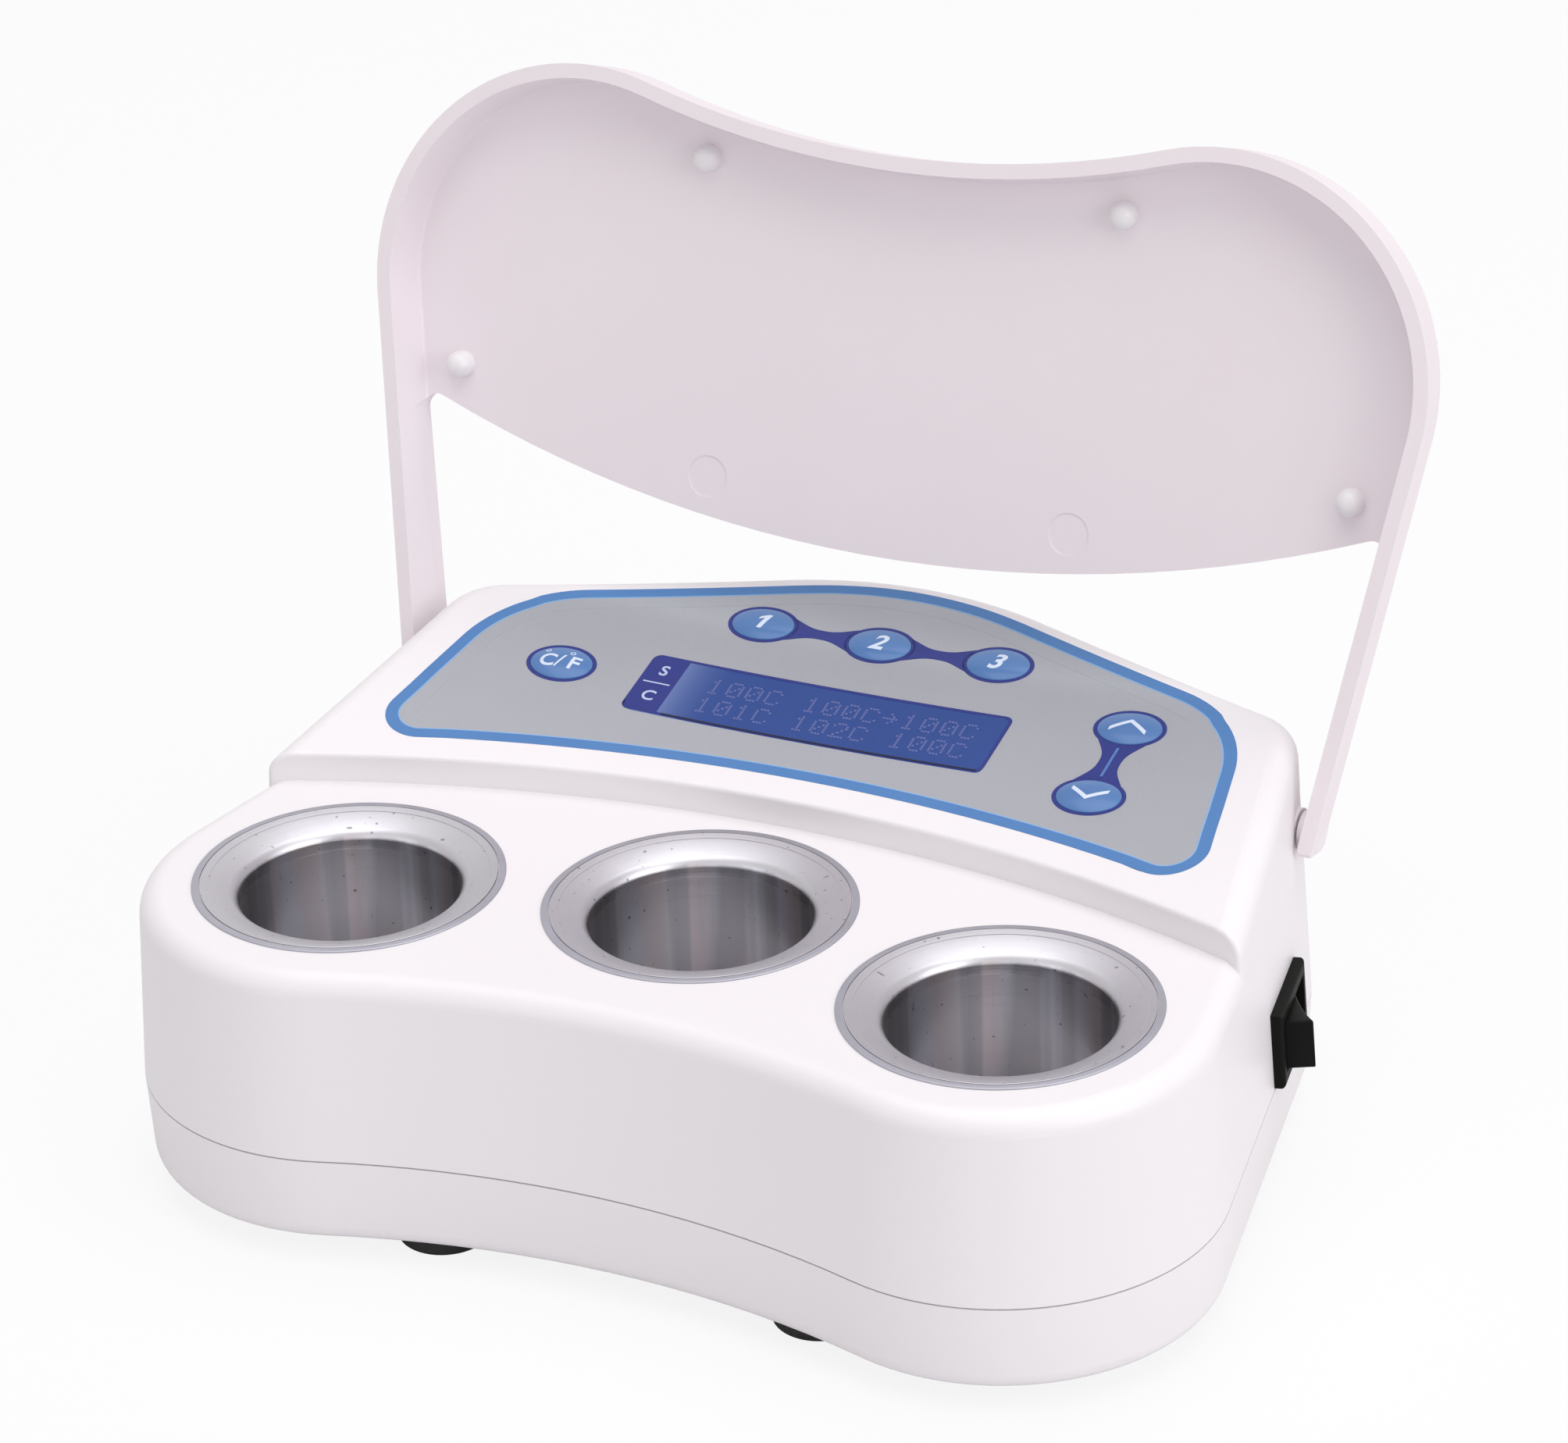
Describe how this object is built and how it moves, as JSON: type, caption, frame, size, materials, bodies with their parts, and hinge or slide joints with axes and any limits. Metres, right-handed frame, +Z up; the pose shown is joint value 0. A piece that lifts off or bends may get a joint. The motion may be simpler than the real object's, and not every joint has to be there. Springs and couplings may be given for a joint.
{
  "type": "dental wax heater",
  "caption": "Bench-top wax pot with round heated wells in a waisted plastic casing, a sloping keypad console and a hinged splash cover on side arms.",
  "frame": {"origin": "on the surface the feet stand on, under the centre of the bounding box with the cover open", "axes": "+Z up, +X to the user's right along the row of wells, +Y to the rear"},
  "size_m": [0.2004, 0.1502, 0.1661],
  "materials": {
    "casing": "moulded, fine satin",
    "cup": "turned and polished",
    "trim": "satin grey",
    "black_rubber": "matt",
    "black_plastic": "semi-gloss",
    "steel": "plated",
    "brass": "turned",
    "heater": "mica band in a steel jacket",
    "board": "solder mask",
    "components": "moulded",
    "core": "laminated steel",
    "winding": "taped winding",
    "overlay": "fine-grained satin film",
    "window": "clear film window",
    "display": "blue liquid-crystal display",
    "key": "glossy moulded",
    "bush": "self-lubricating plastic",
    "bumper": "translucent soft stud"
  },
  "bodies": {
    "heater": {"board_components": "components", "board_screws": "steel", "casing_screws": "steel", "control_board": "board", "display_board": "board", "display_module": "display", "display_window": "window", "fuse_drawer": "black_plastic", "heat_sensor_left": "brass", "heat_sensor_middle": "brass", "heat_sensor_right": "brass", "heater_band_left": "heater", "heater_band_middle": "heater", "heater_band_right": "heater", "hinge_bushes": "bush", "inlet_contacts": "steel", "key_contacts": "components", "keypad_board": "board", "lock_ring_left": "steel", "lock_ring_middle": "steel", "lock_ring_right": "steel", "lower_casing": "casing", "panel_overlay": "overlay", "power_inlet": "black_plastic", "rubber_feet": "black_rubber", "switch_housing": "black_plastic", "transformer_coil": "winding", "transformer_core": "core", "trim_ring_left": "trim", "trim_ring_middle": "trim", "trim_ring_right": "trim", "upper_casing": "casing", "wax_cup_left": "cup", "wax_cup_middle": "cup", "wax_cup_right": "cup"},
    "cover": {"splash_cover": "casing", "cover_bumpers": "bumper", "hinge_pins": "steel", "hinge_clips": "steel"},
    "rocker": {"power_rocker": "black_plastic"},
    "key_one": {"key_one": "key"},
    "key_two": {"key_two": "key"},
    "key_three": {"key_three": "key"},
    "key_units": {"key_units": "key"},
    "key_up": {"key_up": "key"},
    "key_down": {"key_down": "key"}
  },
  "joints": [
    {"name": "cover_hinge", "type": "hinge", "parent": "heater", "child": "cover", "pos_m": [0, 0.0381, 0.0544], "axis": [1, 0, 0], "range_deg": [0, 106.2]},
    {"name": "rocker_tilt", "type": "hinge", "parent": "heater", "child": "rocker", "pos_m": [0.08945, 0.01839, 0.02783], "axis": [-0.055, -0.0097, 0.9984], "range_deg": [-24, 0]},
    {"name": "key_one_press", "type": "slide", "parent": "heater", "child": "key_one", "axis": [-0.0169, 0.2175, -0.9759], "range_m": [0, 0.0004], "stiffness_N_per_m": 2000},
    {"name": "key_two_press", "type": "slide", "parent": "heater", "child": "key_two", "axis": [0, 0.2181, -0.9759], "range_m": [0, 0.0004], "stiffness_N_per_m": 2000},
    {"name": "key_three_press", "type": "slide", "parent": "heater", "child": "key_three", "axis": [0.0169, 0.2175, -0.9759], "range_m": [0, 0.0004], "stiffness_N_per_m": 2000},
    {"name": "key_units_press", "type": "slide", "parent": "heater", "child": "key_units", "axis": [-0.0415, 0.2142, -0.9759], "range_m": [0, 0.0004], "stiffness_N_per_m": 2000},
    {"name": "key_up_press", "type": "slide", "parent": "heater", "child": "key_up", "axis": [0.0398, 0.2145, -0.9759], "range_m": [0, 0.0004], "stiffness_N_per_m": 2000},
    {"name": "key_down_press", "type": "slide", "parent": "heater", "child": "key_down", "axis": [0.0425, 0.214, -0.9759], "range_m": [0, 0.0004], "stiffness_N_per_m": 2000}
  ]
}
